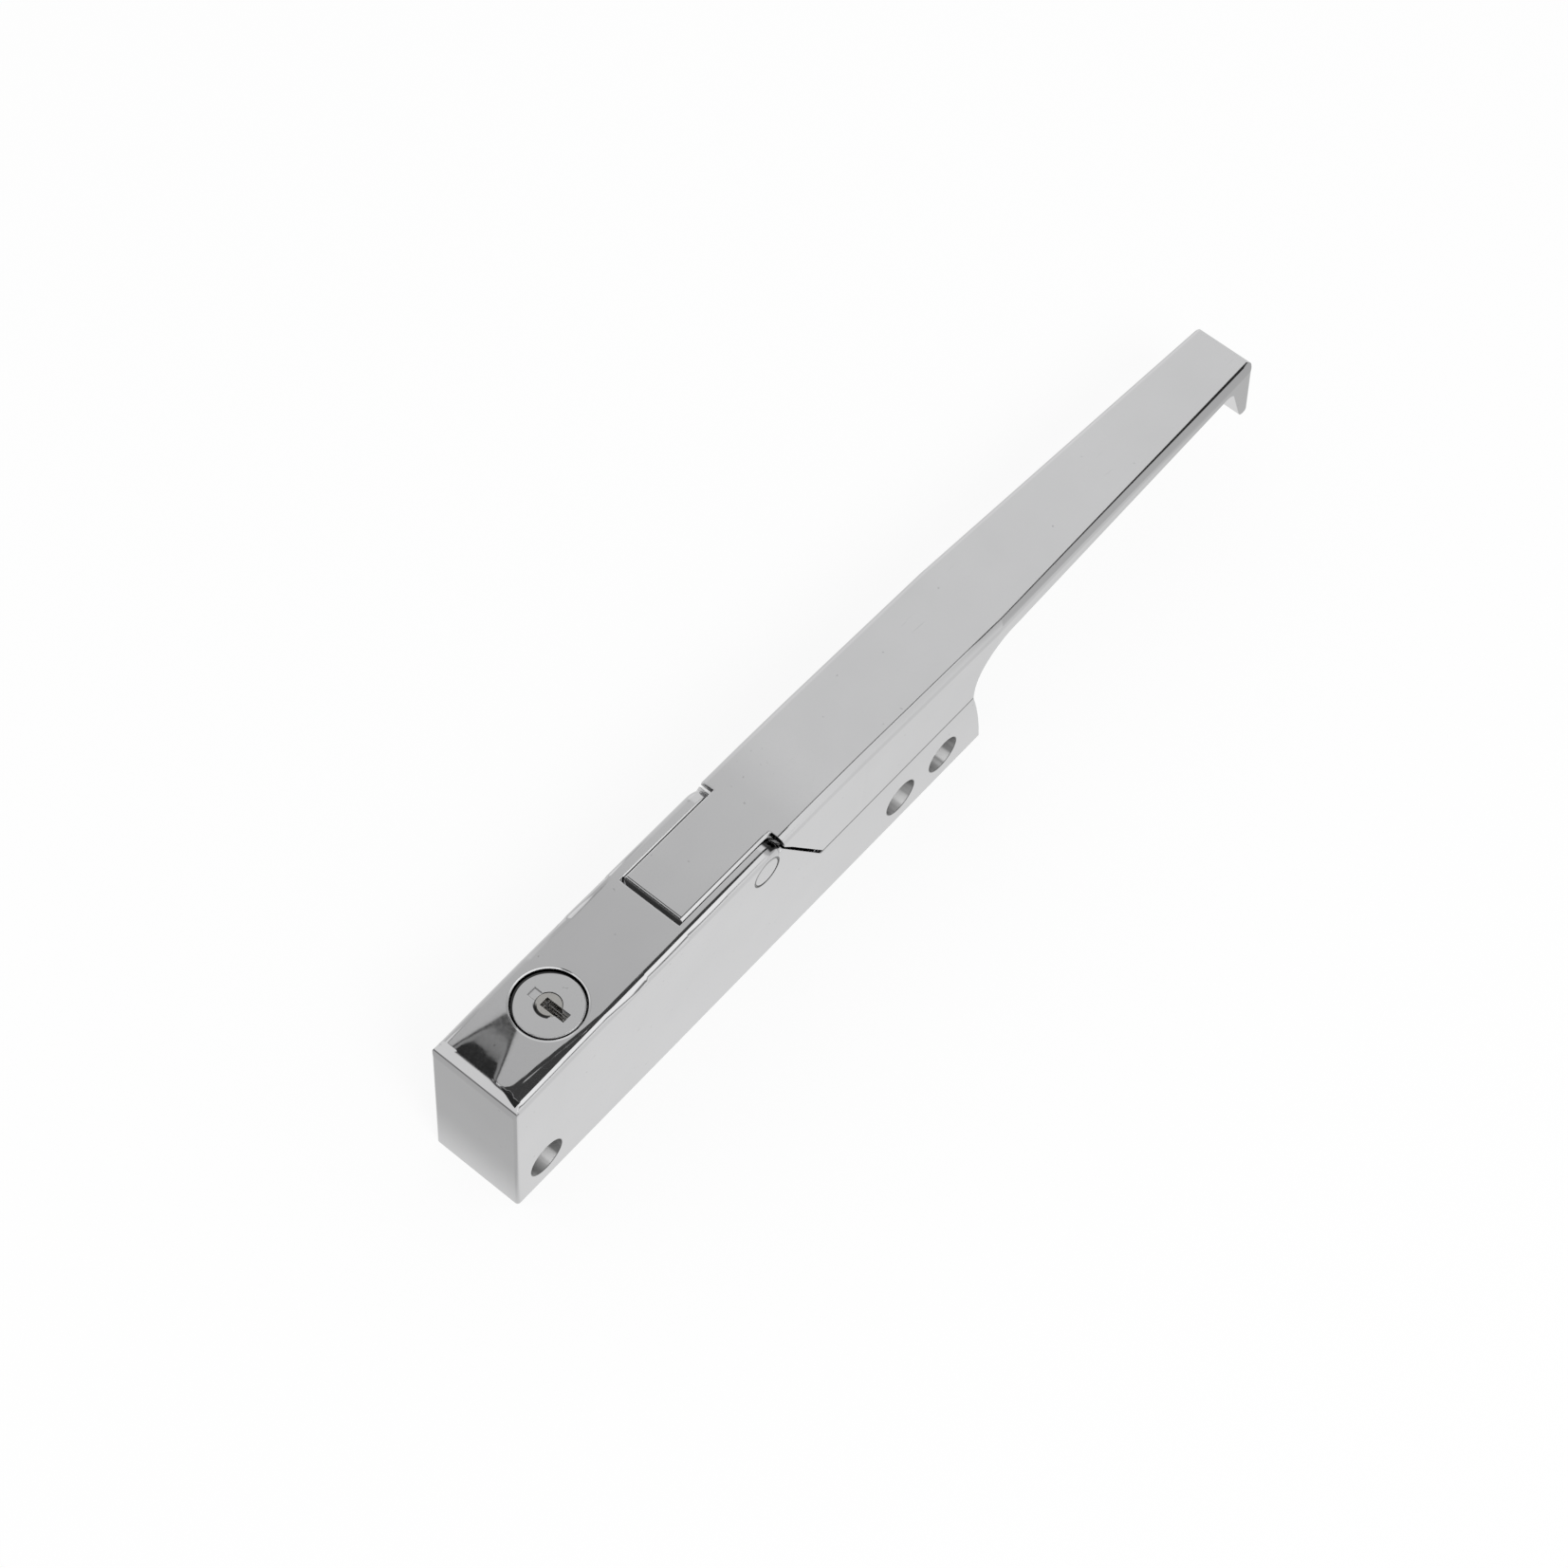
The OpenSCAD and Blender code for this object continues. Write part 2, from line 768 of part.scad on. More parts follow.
// Round housing on a flat flange, drilled for its four screws
module lock_housing() {
    hw = inner_w / 2 - 0.2;
    color(chrome)
        difference() {
            union() {
                translate([lock_x, 0, boss_z - 0.5])
                    cylinder(r = lock_r - 0.25, h = lock_face - boss_z + 0.5, $fn = 96);
                translate([lock_x, 0, boss_z - 0.5])
                    cylinder(r = lock_r, h = lock_face - boss_z + 0.25, $fn = 96);
                block([flange_x0, -hw, flange_z], [flange_x1, hw, boss_z]);
            }
            translate([lock_x, 0, flange_z - 1])
                cylinder(r = plug_r + run_fit, h = plug_top + touch - flange_z + 1);
            translate([lock_x, 0, clip_z])
                cylinder(r = plug_r + 0.7, h = clip_t + 0.1);
            translate([lock_x, 0, lock_face - face_t - 1])
                cylinder(r = ring_r, h = face_t + 2);
            // keyhole: open towards the front, a shallow notch towards the back
            block([lock_x - key_w / 2, key_lo - 0.2, lock_face - face_t - 1],
                [lock_x + key_w / 2, 0, lock_face + 1]);
            block([lock_x - key_w / 2, 0, lock_face - 0.35],
                [lock_x + key_w / 2, -key_lo, lock_face + 1]);
            for (y = [-post_y, post_y])
                translate([post_x, y, flange_z - 1])
                    cylinder(r = small_r, h = 10);
            for (y = [-tab_y, tab_y])
                translate([tab_x, y, flange_z - 1])
                    cylinder(r = small_r, h = 10);
        }
}

module lock_screws() {
    color(steel)
        for (y = [-tab_y, tab_y])
            translate([tab_x, y, flange_z - 1.4])
                pan_screw(boss_z + 4 - flange_z + 1.4, 1.4);
}

// A small pan-head screw that points up, its head h high
module pan_screw(l, h) {
    difference() {
        union() {
            cylinder(r = small_r, h = l);
            cylinder(r = 1.7 * small_r, h = h);
        }
        cross_slot(0, 2 * small_r, 0.7);
    }
}

module lock_plug() {
    color(brass)
        translate([lock_x, 0, 0])
            difference() {
                union() {
                    translate([0, 0, clip_z + clip_t + touch])
                        cylinder(r = plug_r, h = plug_top - clip_z - clip_t - touch);
                    translate([0, 0, flange_z - 0.2])
                        cylinder(r = neck_r, h = 5);
                    translate([0, 0, plug_top - 1])
                        cylinder(r = ring_r - 0.15, h = lock_face - 0.2 - plug_top + 1);
                    translate([-2.5, -2.5, cam_z + cam_t - 1.1])
                        cube([5, 5, 3]);
                }
                // keyway, and a slot for each wafer
                block([-key_w / 2, key_lo, clip_z + 4], [key_w / 2, key_hi, body_h + 1]);
                for (i = [0 : 3])
                    block([-2.7, -plug_r - 1, wafer_z(i) - 0.45], [2.7, plug_r + 1, wafer_z(i) + 0.45]);
                translate([0, 0, cam_z])
                    cylinder(r = small_r, h = 5.8);
            }
}

module plug_wafers() {
    color(steel)
        translate([lock_x, 0, 0])
            for (i = [0 : 3])
                difference() {
                    intersection() {
                        block([-2.6, -plug_r + 0.3, wafer_z(i) - 0.4], [2.6, plug_r - 0.5, wafer_z(i) + 0.4]);
                        cylinder(r = plug_r - 0.05, h = body_h);
                    }
                    block([-key_w / 2 - 0.1, key_lo + 0.25 * (i % 3), 0], [key_w / 2 + 0.1, key_hi + 0.2, body_h]);
                }
}

module plug_clip() {
    color(steel)
        translate([lock_x, 0, clip_z])
            difference() {
                cylinder(r = plug_r + 0.6, h = clip_t);
                translate([0, 0, -1])
                    cylinder(r = neck_r + 0.2, h = 3);
                block([-1.8, 0, -1], [1.8, 10, 3]);
            }
}

module lock_cam() {
    color(steel)
        translate([lock_x, 0, cam_z])
            difference() {
                union() {
                    cylinder(r = cam_r, h = cam_t);
                    rotate([0, 0, 90 + key_turn / 2])
                        translate([cam_off, 0, -slide_t - 0.1])
                            cylinder(r = cam_pin_r, h = slide_t + 1);
                }
                translate([-2.5, -2.5, cam_t - 1.1])
                    cube([5, 5, 3]);
                translate([0, 0, -1])
                    cylinder(r = small_r, h = 6);
                translate([0, 0, -1])
                    cylinder(r = 1.7 * small_r + 0.1, h = 2);
            }
}

module cam_screw() {
    color(steel)
        translate([lock_x, 0, cam_z + 0.1])
            pan_screw(5.4, 0.9);
}

// Blocking slide: a yoke that the cam's pin drives, and a nose that goes under the toe
module lock_slide() {
    color(steel)
        difference() {
            union() {
                block([yoke_x0, 0.7 - inner_w / 2, slide_z], [yoke_x1, inner_w / 2 - 0.7, slide_z + slide_t]);
                block([yoke_x1 - 1, -neck_hw, slide_z], [nose_x1, neck_hw, slide_z + slide_t]);
                block([nose_x1 - nose_l, -neck_hw, slide_z], [nose_x1, neck_hw, flange_z - 0.3]);
            }
            block([cam_rest_x - cam_pin_r - slot_play, 0.6, slide_z - 1],
                [cam_rest_x + cam_pin_r + slot_play, cam_off + cam_pin_r + 0.6, slide_z + slide_t + 1]);
        }
}

module slide_bracket() {
    hw = inner_w / 2 - 0.3;
    color(steel)
        difference() {
            union() {
                block([near_wall + 1.5, -hw, floor_z], [flange_x1 - 0.2, hw, floor_z + floor_t]);
                for (y = [-post_y, post_y])
                    translate([post_x, y, floor_z])
                        cylinder(r = post_r, h = flange_z - floor_z);
            }
            for (y = [-post_y, post_y])
                translate([post_x, y, floor_z - 1])
                    cylinder(r = small_r, h = 20);
        }
}

module bracket_screws() {
    color(steel)
        for (y = [-post_y, post_y])
            translate([post_x, y, floor_z - 1.6])
                pan_screw(boss_z + 4 - floor_z + 1.6, 1.6);
}

translate([-overall_l / 2, 0, 0]) {
    latch_body();
    bottom_cover();
    cover_screws();
    handle();
    handle_pin();
    handle_bushes();
    handle_spring();
    handle_buffers();
    latch_hook();
    hook_pin();
    hook_spacers();
    hook_spring();
    lock_housing();
    lock_screws();
    lock_plug();
    plug_wafers();
    plug_clip();
    lock_cam();
    cam_screw();
    lock_slide();
    slide_bracket();
    bracket_screws();
}
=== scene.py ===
"""Studio scene of the refrigerator door lock, in metres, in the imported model's frame."""
import json
from math import radians, sin, tan
import bpy
from mathutils import Matrix, Vector


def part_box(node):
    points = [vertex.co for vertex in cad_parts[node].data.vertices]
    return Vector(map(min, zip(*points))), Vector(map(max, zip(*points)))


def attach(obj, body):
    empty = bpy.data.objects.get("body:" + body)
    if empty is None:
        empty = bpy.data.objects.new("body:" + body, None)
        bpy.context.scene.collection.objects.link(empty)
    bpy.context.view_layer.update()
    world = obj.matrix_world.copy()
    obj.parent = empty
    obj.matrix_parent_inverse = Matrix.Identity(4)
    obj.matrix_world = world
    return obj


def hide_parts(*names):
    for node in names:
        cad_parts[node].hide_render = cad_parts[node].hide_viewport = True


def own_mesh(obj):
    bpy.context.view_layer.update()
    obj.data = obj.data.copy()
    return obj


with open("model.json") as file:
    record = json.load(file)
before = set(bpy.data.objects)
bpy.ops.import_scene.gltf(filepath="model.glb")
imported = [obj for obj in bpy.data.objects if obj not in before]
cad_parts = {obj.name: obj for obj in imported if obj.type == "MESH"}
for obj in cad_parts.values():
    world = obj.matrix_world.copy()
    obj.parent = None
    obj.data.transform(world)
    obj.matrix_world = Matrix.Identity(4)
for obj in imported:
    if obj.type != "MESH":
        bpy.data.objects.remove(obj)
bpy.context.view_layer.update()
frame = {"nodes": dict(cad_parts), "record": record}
nodes = frame["nodes"]
slots = {part["node"]: part["material_slot"] for part in frame["record"]["subparts"]}


def new_object(name, data):
    """An object in the scene that shows a camera, lamp or mesh."""
    obj = bpy.data.objects.new(name, data)
    bpy.context.scene.collection.objects.link(obj)
    return obj


# Camera: solved from the photograph's corners and its printed sizes
EYE = Vector((-0.39791, -0.26038, 0.76365))
FORWARD = Vector((0.4278, 0.30531, -0.85075))
UP = Vector((0.63748, 0.56535, 0.52345))
FOCAL_PIXELS = 4057
PHOTO_PIXELS = 1653
SENSOR_MM = 36


def solved_camera():
    """The photograph's camera."""
    data = bpy.data.cameras.new("camera")
    data.sensor_width = SENSOR_MM
    data.lens = FOCAL_PIXELS / PHOTO_PIXELS * SENSOR_MM
    data.clip_start = 0.01
    data.clip_end = 20
    camera = new_object("camera", data)
    back = -FORWARD.normalized()
    right = UP.cross(back).normalized()
    up = back.cross(right)
    camera.matrix_world = Matrix.Translation(EYE) @ Matrix((right, up, back)).transposed().to_4x4()
    bpy.context.scene.camera = camera


bpy.context.scene.view_settings.view_transform = "Standard"
solved_camera()


# Places for the materials, in mm: x from the near end, y from the middle, z above the foot
def in_mm(metres):
    """Millimetres, to a hundredth."""
    return round(1000 * metres, 2)


def middle(node, axis):
    """Middle of a node's box along an axis, 0 to 2, in mm."""
    low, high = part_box(node)
    return in_mm((low[axis] + high[axis]) / 2)


body_low, body_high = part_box("latch_body")
X_SHIFT = -in_mm(body_low[0])
HALF_W = in_mm(body_high[1])
TOP_Z = in_mm(body_high[2])
TIP_X = X_SHIFT + in_mm(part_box("handle")[1][0])
PIN_X = X_SHIFT + middle("handle_pin", 0)
PIN_Z = middle("handle_pin", 2)
PIN_R = 3.8
LOCK_X = X_SHIFT + middle("lock_plug", 0)
LOCK_R = 8.1
BORE_R = 8.5
counterbores = [mount for mount in frame["record"]["mounts"] if mount["name"].endswith("_screw_head")]
HOLES = [(X_SHIFT + in_mm(mount["pos_m"][0]), in_mm(mount["pos_m"][2])) for mount in counterbores]
HOLE_R = counterbores[0]["dims"]["r_mm"]

# The body's crowned top, its rounding's foot, the tail's end, the notch by the pin, and the parting
CROWN_R = 1400
CROWN_X = 69.0
EDGE_Z = 42.0
TAIL_X = 57.5
NOTCH_X = 84.0
NOTCH_Z = 40.0
SPLIT_Z = 22.0
SLANT_X = 101.4
SHOULDER_END = 157.0

# The handle's top falls along an arc, and its grip is creased and narrows on both sides
ARC_X = 92.0
ARC_R = 700.0
FALL = radians(2.6)
CREASE_X = 150.0
TAPER_X = 163.7
TAPER = 0.032
GRIP_EDGE_R = 1.9


class Shader:
    """Builds a node tree from calls. Each call returns its node's output, to feed to the next."""

    def __init__(self, tree):
        self.tree = tree
        self.tree.nodes.clear()

    def add(self, kind, **settings):
        node = self.tree.nodes.new(kind)
        for name, value in settings.items():
            setattr(node, name, value)
        return node

    def link(self, source, target):
        self.tree.links.new(source, target)

    def feed(self, value, socket):
        """A number sets the socket, and anything else is linked to it."""
        if isinstance(value, (int, float)):
            socket.default_value = value
        else:
            self.link(value, socket)

    def math(self, operation, a, b=0.0, clamp=False):
        node = self.add("ShaderNodeMath", operation=operation, use_clamp=clamp)
        self.feed(a, node.inputs[0])
        self.feed(b, node.inputs[1])
        return node.outputs[0]

    def fold(self, operation, terms):
        """The terms taken together, one after another, by one operation."""
        total = terms[0]
        for term in terms[1:]:
            total = self.math(operation, total, term)
        return total

    def sum(self, *terms):
        return self.fold("ADD", terms)

    def product(self, *terms):
        return self.fold("MULTIPLY", terms)

    def most(self, *terms):
        return self.fold("MAXIMUM", terms)

    def minus(self, a, b):
        return self.math("SUBTRACT", a, b)

    def over(self, a, b):
        return self.math("DIVIDE", a, b)

    def power(self, a, b):
        return self.math("POWER", a, b)

    def absolute(self, a):
        return self.math("ABSOLUTE", a)

    def below(self, a, b):
        """1 where a is less than b."""
        return self.math("LESS_THAN", a, b)

    def rest(self, share):
        """What a share leaves of 1."""
        return self.minus(1.0, share)

    def distance(self, a, b, a0, b0):
        """Distance of (a, b) from (a0, b0)."""
        da, db = self.minus(a, a0), self.minus(b, b0)
        return self.math("SQRT", self.sum(self.product(da, da), self.product(db, db)))

    def span(self, value, low, high, out_low=0.0, out_high=1.0, smooth=True):
        """value from low to high becomes out_low to out_high, and stays there outside."""
        node = self.add("ShaderNodeMapRange", interpolation_type="SMOOTHSTEP" if smooth else "LINEAR")
        for socket, setting in zip(node.inputs, (value, low, high, out_low, out_high)):
            self.feed(setting, socket)
        return node.outputs[0]

    def band(self, value, low, high, soft):
        """1 between low and high, with soft ends."""
        rise = self.span(value, self.sum(low, -soft), self.sum(low, soft))
        fall = self.span(value, self.sum(high, soft), self.sum(high, -soft))
        return self.product(rise, fall)

    def ramp(self, factor, stops):
        """Tones, as numbers or colours, at places from 0 to 1 along the factor."""
        node = self.add("ShaderNodeValToRGB")
        ramp = node.color_ramp
        while len(ramp.elements) < len(stops):
            ramp.elements.new(0.5)
        for element, (place, shade) in zip(ramp.elements, stops):
            element.position = place
            element.color = (shade, shade, shade, 1) if isinstance(shade, (int, float)) else (*shade, 1)
        self.link(factor, node.inputs[0])
        return node.outputs[0]

    def mix(self, factor, a, b):
        """Colour a where factor is 0, b where it is 1."""
        node = self.add("ShaderNodeMix", data_type="RGBA")
        self.feed(factor, node.inputs["Factor"])
        for value, socket in ((a, node.inputs[6]), (b, node.inputs[7])):
            if isinstance(value, tuple):
                socket.default_value = (*value, 1)
            else:
                self.link(value, socket)
        return node.outputs[2]

    def noise(self, where, scale, detail=3.0, rough=0.5):
        node = self.add("ShaderNodeTexNoise")
        node.inputs["Scale"].default_value = scale
        node.inputs["Detail"].default_value = detail
        node.inputs["Roughness"].default_value = rough
        self.link(where, node.inputs["Vector"])
        return node.outputs["Fac"]

    def stretch(self, where, scale, turn=(0, 0, 0)):
        node = self.add("ShaderNodeMapping")
        node.inputs["Scale"].default_value = scale
        node.inputs["Rotation"].default_value = turn
        self.link(where, node.inputs["Vector"])
        return node.outputs[0]

    def bump(self, height, distance, normal=None, strength=1.0):
        node = self.add("ShaderNodeBump")
        node.inputs["Strength"].default_value = strength
        node.inputs["Distance"].default_value = distance
        self.link(height, node.inputs["Height"])
        if normal is not None:
            self.link(normal, node.inputs["Normal"])
        return node.outputs[0]

    def parts(self, vector):
        node = self.add("ShaderNodeSeparateXYZ")
        self.link(vector, node.inputs[0])
        return node.outputs

    def vector(self, x, y, z):
        node = self.add("ShaderNodeCombineXYZ")
        for value, socket in zip((x, y, z), node.inputs):
            self.feed(value, socket)
        return node.outputs[0]

    def plus(self, a, b):
        """Sum of two vectors."""
        node = self.add("ShaderNodeVectorMath", operation="ADD")
        self.link(a, node.inputs[0])
        self.link(b, node.inputs[1])
        return node.outputs[0]

    def unit(self, a):
        node = self.add("ShaderNodeVectorMath", operation="NORMALIZE")
        self.link(a, node.inputs[0])
        return node.outputs[0]

    def between(self, factor, a, b):
        """Direction a where factor is 0, b where it is 1."""
        node = self.add("ShaderNodeMix", data_type="VECTOR")
        self.feed(factor, node.inputs[0])
        self.link(a, node.inputs[4])
        self.link(b, node.inputs[5])
        return node.outputs[1]

    def turned(self, vector, source, target):
        """A direction given in one space ("OBJECT" or "WORLD"), in another."""
        node = self.add("ShaderNodeVectorTransform", vector_type="VECTOR",
                        convert_from=source, convert_to=target)
        self.link(vector, node.inputs[0])
        return node.outputs[0]

    def lean(self, x, y):
        """Unit direction that leans away from straight up by x and y."""
        return self.unit(self.vector(x, y, 1.0))

    def moving_lean(self, x, y):
        """The same in the object's own space, so that it moves with the object."""
        return self.turned(self.lean(x, y), "OBJECT", "WORLD")


def new_material(name):
    """A new material, its Shader and its output node."""
    material = bpy.data.materials.new(name)
    material.use_nodes = True
    s = Shader(material.node_tree)
    return material, s, s.add("ShaderNodeOutputMaterial")


def solid_material(name, metallic):
    """A new material, its Shader, its surface node and its object coordinates."""
    material, s, output = new_material(name)
    surface = s.add("ShaderNodeBsdfPrincipled")
    surface.inputs["Metallic"].default_value = metallic
    s.link(surface.outputs[0], output.inputs[0])
    return material, s, surface, s.add("ShaderNodeTexCoord").outputs["Object"]


def from_end(s, where):
    """Object coordinates in mm, x from the near end."""
    x, y, z = s.parts(s.stretch(where, (1000, 1000, 1000)))
    return s.sum(x, X_SHIFT), y, z


def shaded(colour, factor):
    return tuple(factor * c for c in colour)


def grey(tone):
    return (tone, tone, tone)


def on_sides(s, y):
    """1 on the two long sides."""
    return s.span(s.absolute(y), HALF_W - 0.2, HALF_W - 0.1)


# Body: polish and painted shade lines
HOLLOW_X = 17.6
HOLLOW_L = 16.0
HOLLOW_SLOPES = [(0.0, 0.0), (0.06, 0.165), (0.33, 0.205), (0.43, 0.25),
                 (0.64, 0.36), (0.76, 0.50), (1.0, 0.60)]


def near_hollow(s, x, y, blur):
    """How steeply the buffed top sinks towards its near end, between a front and a far edge."""
    run = s.sum(s.minus(HOLLOW_X, x), s.product(3.0, s.minus(blur, 0.5)))
    slope = s.ramp(s.span(run, 0.0, HOLLOW_L, smooth=False), HOLLOW_SLOPES)
    front_edge = s.sum(-3.7, s.product(0.32, s.minus(x, 2.8)))
    far_edge = s.sum(7.4, s.product(-0.16, s.minus(x, 3.8)))
    return s.product(0.2, slope, s.span(s.minus(y, front_edge), -0.7, 1.9),
                     s.span(s.minus(y, far_edge), 2.0, -0.8))


def bore_rim(s, x, y):
    """How far the rounded edge of the lock's bore leans along x and y."""
    away = s.distance(x, y, LOCK_X, 0.0)
    rim = s.product(0.36, s.band(away, BORE_R, BORE_R + 0.45, 0.08))
    return s.over(s.product(rim, s.minus(x, LOCK_X)), away), s.over(s.product(rim, y), away)


def front_strip(s, x, y, within, normal):
    """Sinks a strip along the top's front edge, wide at the near end and thin from the slot on."""
    streak = s.noise(s.vector(s.product(x, 0.1), s.product(y, 1.3), 0.0), 1.0, 2)
    crown = s.product(-1 / CROWN_R, s.minus(CROWN_X, x))
    sunk = s.lean(crown, s.sum(-0.09, s.product(-0.16, s.minus(streak, 0.5))))
    widening = s.product(2.8, s.power(s.span(x, 30, 3.7, smooth=False), 1.15))
    flare = s.product(2.6, s.power(s.span(x, 5.4, 2.6, smooth=False), 3.0))
    past_inner = s.minus(y, s.sum(-9.9, widening, flare))
    past_outer = s.minus(y, s.span(x, 45, 90, -10.6, -10.3))
    strip = s.product(s.span(past_inner, s.span(x, 30, 5, 0.3, 1.1), -0.3),
                      s.span(past_outer, -0.1, 0.1), s.span(x, 92, 66), within)
    glow = s.product(0.55, s.band(past_inner, -0.85, -0.45, 0.1), s.band(x, 6.0, 25.0, 2.0))
    return s.between(s.product(strip, s.rest(glow)), normal, sunk)


def end_wedge(s, x, y, within, blur, normal):
    """Sinks a wedge that runs along the near end's rounding."""
    inland = s.sum(3.0, s.product(1.9, s.span(y, -4.5, 5.0)), s.product(2.4, s.minus(blur, 0.5)))
    across = s.product(s.span(y, 7.7, 7.2), s.span(y, -10.8, -10.4))
    wedge = s.product(s.span(s.minus(x, inland), 0.3, -0.3), across, within)
    return s.between(wedge, normal, s.lean(-0.15, -0.01))


def case_polish(s, mm, normal):
    """Body: the buffed top sinks at its near end and along its front edge, and its edges are rounded."""
    x, y, z = mm
    level = s.span(s.parts(normal)[2], 0.90, 0.97)
    top = s.span(z, EDGE_Z - 0.4, EDGE_Z)
    blur = s.noise(s.vector(s.product(x, 0.35), s.product(y, 0.35), 0.0), 1.0, 2)
    rim_x, rim_y = bore_rim(s, x, y)
    lean_x = s.product(-1.0, level, s.sum(near_hollow(s, x, y, blur), rim_x))
    normal = s.plus(normal, s.vector(lean_x, s.product(-1.0, level, rim_y), 0.0))
    # the strip and the wedge both end on the near end's rounding
    corner = s.sum(2.8, s.product(-1.5, s.span(y, -4.5, -11.2)))
    within = s.product(s.span(s.minus(x, corner), -0.15, 0.15), top)
    normal = front_strip(s, x, y, within, normal)
    normal = end_wedge(s, x, y, within, blur, normal)
    # the slot's far lip mirrors the light, and so does the end's rounding beside the hollow
    lip = s.product(s.span(z, TOP_Z - 0.6, TOP_Z - 0.5), s.band(y, 7.9, 8.75, 0.05),
                    s.band(x, TAIL_X + 0.1, NOTCH_X, 0.2), s.span(s.parts(normal)[1], -0.3, -0.6))
    normal = s.between(lip, normal, s.lean(0.0, -0.40))
    beside = s.product(s.band(x, 2.2, 3.15, 0.1), s.span(y, 7.4, 7.9), top)
    return s.unit(s.between(beside, normal, s.lean(-0.36, 0.0)))


def case_painted_shade(s, mm):
    """Body: painted shade, as dark lines round the pin and the holes, under the shoulder, in the notch and
    on the near end.
    """
    x, y, z = mm
    side = on_sides(s, y)
    ring = s.product(0.92, s.band(s.distance(x, z, PIN_X, PIN_Z), PIN_R - 0.08, PIN_R + 0.44, 0.06), side)
    parting = s.product(0.6, s.band(z, SPLIT_Z - 0.4, SPLIT_Z + 0.6, 0.04),
                        s.span(x, SLANT_X, SLANT_X + 0.4), side)
    notch = s.product(0.95, s.span(x, NOTCH_X - 1.0, NOTCH_X - 0.2), s.span(z, NOTCH_Z - 0.5, NOTCH_Z + 0.5),
                      s.band(s.product(-1.0, y), 8.0, 11.2, 0.15))
    end = s.product(0.55, s.band(z, EDGE_Z - 0.05, EDGE_Z + 0.25, 0.05), s.span(x, 1.3, 1.2))
    front = s.span(y, 0.2 - HALF_W, 0.1 - HALF_W)
    edges = [s.product(0.5, s.band(s.distance(x, z, *hole), HOLE_R - 0.04, HOLE_R + 0.16, 0.05), front)
             for hole in HOLES]
    return s.most(ring, parting, notch, end, *edges)


def in_holes(s, mm):
    """1 on the walls of the door screw holes, and a glint and a shade that run along them."""
    x, y, z = mm
    walls, glints, shades = [], [], []
    for hole_x, hole_z in HOLES:
        away = s.distance(x, z, hole_x, hole_z)
        dx = s.over(s.minus(x, hole_x), away)
        dz = s.over(s.minus(z, hole_z), away)
        wall = s.below(away, HOLE_R + 0.03)
        glint = s.span(s.sum(s.product(0.5, dx), s.product(-0.87, dz)), 0.95, 0.995)
        shade = s.span(s.sum(s.product(0.97, dx), s.product(0.24, dz)), 0.75, 0.95)
        walls.append(wall)
        glints.append(s.product(wall, glint))
        shades.append(s.product(wall, shade))
    inside = s.product(s.most(*walls), s.below(s.absolute(y), HALF_W - 0.03))
    return inside, s.sum(*glints), s.sum(*shades)


# Handle pin
def pin_painted_shade(s, mm):
    """Pin: painted shade, as a dark line round its end."""
    x, _, z = mm
    return s.product(0.5, s.span(s.distance(x, z, PIN_X, PIN_Z), PIN_R - 0.2, PIN_R - 0.1))


# Handle: polish, painted shade lines and the long arc of its top
def handle_polish(s, mm, normal):
    """Handle: the crease of its front edge deepens to the tip, and the tail has buffed long edges."""
    x, y, z = mm
    lean_z = s.parts(s.turned(normal, "WORLD", "OBJECT"))[2]
    half = s.sum(HALF_W, s.product(-TAPER, s.most(s.minus(x, TAPER_X), 0.0)))
    past = s.minus(s.product(-1.0, y), s.minus(half, GRIP_EDGE_R))
    widening = s.span(x, CREASE_X + 10.0, TIP_X - 8.0, 0.2, 0.62)
    darkening = s.span(x, CREASE_X, TIP_X - 8.0, 0.0, 0.85)
    crease = s.product(s.band(past, 0.0, widening, 0.08), darkening, s.span(x, TIP_X - 2.0, TIP_X - 6.0),
                       s.span(lean_z, 0.1, 0.3))
    soft = s.product(0.4, s.band(past, 0.05, 0.35, 0.05), s.span(x, CREASE_X + 10.0, CREASE_X),
                     s.span(x, ARC_X - 2.0, ARC_X))
    tail = s.product(s.span(lean_z, 0.3, 0.5), s.span(x, TAIL_X - 0.2, TAIL_X),
                     s.span(x, NOTCH_X + 3.0, NOTCH_X))
    thin = s.most(s.band(y, -7.62, -7.44, 0.05), s.span(x, TAIL_X + 0.25, TAIL_X + 0.15),
                  s.band(x, TAIL_X + 0.45, TAIL_X + 0.65, 0.05))
    normal = s.between(s.most(crease, s.product(tail, thin)), normal, s.moving_lean(0.03, -0.085))
    bright = s.product(tail, s.most(s.span(y, -7.6, -7.7), s.span(y, 8.0, 8.1)))
    normal = s.between(s.most(bright, soft), normal, s.moving_lean(0.0, -0.36))
    # the tail's end face catches a little light in its gap
    face = s.product(s.span(x, TAIL_X + 0.1, TAIL_X), s.span(z, TOP_Z - 4.0, TOP_Z - 3.0),
                     s.span(lean_z, 0.3, 0.2))
    return s.unit(s.between(face, normal, s.moving_lean(-0.17, 0.0)))


def handle_painted_shade(s, mm):
    """Handle: painted shade, as dark lines along the parting and in the notch, and on the tail's end face.
    """
    x, y, z = mm
    parting = s.product(0.5, s.span(z, SPLIT_Z + 0.45, SPLIT_Z + 0.35),
                        s.span(x, SLANT_X - 0.9, SLANT_X - 0.4),
                        s.span(x, SHOULDER_END + 1.0, SHOULDER_END), on_sides(s, y))
    notch = s.product(0.95, s.band(x, NOTCH_X, NOTCH_X + 3.2, 0.1), s.span(y, -8.35, -8.45),
                      s.span(z, NOTCH_Z - 0.5, NOTCH_Z + 0.5))
    face = s.product(0.6, s.span(x, TAIL_X + 0.1, TAIL_X), s.span(z, TOP_Z - 0.5, TOP_Z - 1.0))
    return s.most(face, parting, notch)


